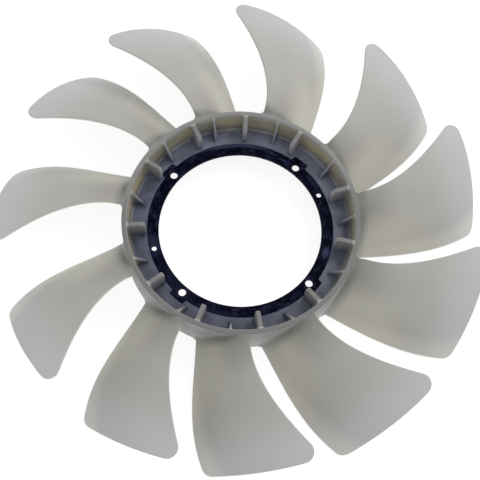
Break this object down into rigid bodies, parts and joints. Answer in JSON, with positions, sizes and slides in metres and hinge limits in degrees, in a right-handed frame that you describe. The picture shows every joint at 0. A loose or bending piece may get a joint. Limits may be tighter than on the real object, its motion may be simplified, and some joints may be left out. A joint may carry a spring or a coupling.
{
  "type": "axial fan impeller",
  "caption": "Axial fan impeller: swept, twisted nylon blades on a ribbed open barrel, moulded round a flat steel mounting ring.",
  "frame": {"origin": "on the axis, in the front face of the steel mounting ring, at the centre of its bolt circle", "axes": "+Z is the axis and points upstream, to the open side of the barrel; +X and +Y lie midway between neighbouring bolt holes"},
  "size_m": [0.45, 0.4489, 0.0623],
  "materials": {
    "nylon": "satin, slightly translucent off-white",
    "coated_steel": "satin blue-black coating with pale rubbed patches"
  },
  "bodies": {
    "root": {"impeller_moulding": "nylon", "mounting_ring": "coated_steel"}
  },
  "joints": []
}
